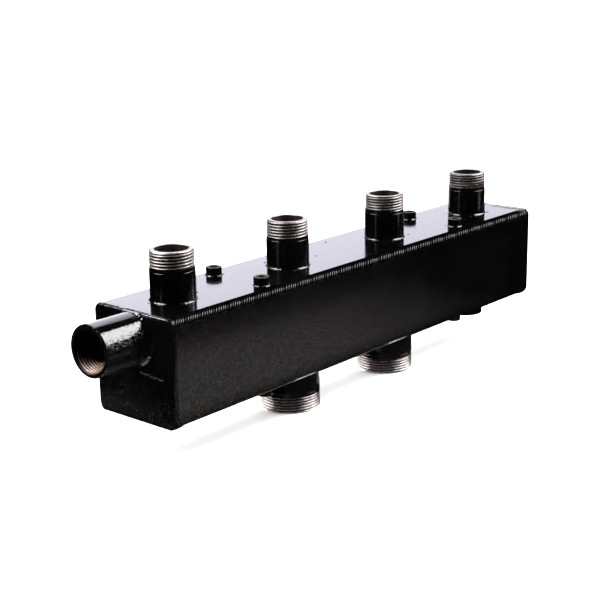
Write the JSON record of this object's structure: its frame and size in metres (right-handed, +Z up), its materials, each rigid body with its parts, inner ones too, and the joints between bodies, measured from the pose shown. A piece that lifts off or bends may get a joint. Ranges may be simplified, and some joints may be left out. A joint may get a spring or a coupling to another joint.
{
  "type": "heating manifold",
  "caption": "Welded steel box manifold for heating circuits: square casing with threaded nipples above and below, an end socket, tapped bracket bosses and an inner partition.",
  "frame": {"origin": "under the middle of the part, in the plane of the boiler nipples' end faces", "axes": "+X along the casing away from the end socket, +Y from front to back, +Z up towards the circuit nipples"},
  "size_m": [0.502, 0.08, 0.1539],
  "materials": {
    "black_paint": "gloss black enamel with a fine orange-peel texture",
    "bare_steel": "bare machined steel, a little stained"
  },
  "bodies": {
    "root": {"back_seam_weld": "black_paint", "boiler_nipple_1": "black_paint", "boiler_nipple_2": "black_paint", "boiler_weld_1": "black_paint", "boiler_weld_2": "black_paint", "bottom_boss_1": "black_paint", "bottom_boss_2": "black_paint", "bottom_boss_3": "black_paint", "bottom_boss_4": "black_paint", "bottom_boss_weld_1": "black_paint", "bottom_boss_weld_2": "black_paint", "bottom_boss_weld_3": "black_paint", "bottom_boss_weld_4": "black_paint", "circuit_nipple_1": "black_paint", "circuit_nipple_2": "black_paint", "circuit_nipple_3": "black_paint", "circuit_nipple_4": "black_paint", "circuit_weld_1": "black_paint", "circuit_weld_2": "black_paint", "circuit_weld_3": "black_paint", "circuit_weld_4": "black_paint", "drain_socket": "black_paint", "drain_socket_weld": "black_paint", "end_socket": "black_paint", "end_socket_weld": "black_paint", "front_bottom_shell": "black_paint", "front_seam_weld": "black_paint", "left_end_weld": "black_paint", "left_lower_end_plate": "black_paint", "left_partition_weld": "black_paint", "left_upper_end_plate": "black_paint", "partition_back_weld": "bare_steel", "partition_front_weld": "bare_steel", "partition_plate": "bare_steel", "passage_weld_1": "bare_steel", "passage_weld_2": "bare_steel", "passage_weld_3": "bare_steel", "right_end_weld": "black_paint", "right_lower_end_plate": "black_paint", "right_partition_weld": "black_paint", "right_upper_end_plate": "black_paint", "top_back_shell": "black_paint", "top_boss_1": "black_paint", "top_boss_2": "black_paint", "top_boss_3": "black_paint", "top_boss_4": "black_paint", "top_boss_weld_1": "black_paint", "top_boss_weld_2": "black_paint", "top_boss_weld_3": "black_paint", "top_boss_weld_4": "black_paint"}
  },
  "joints": []
}
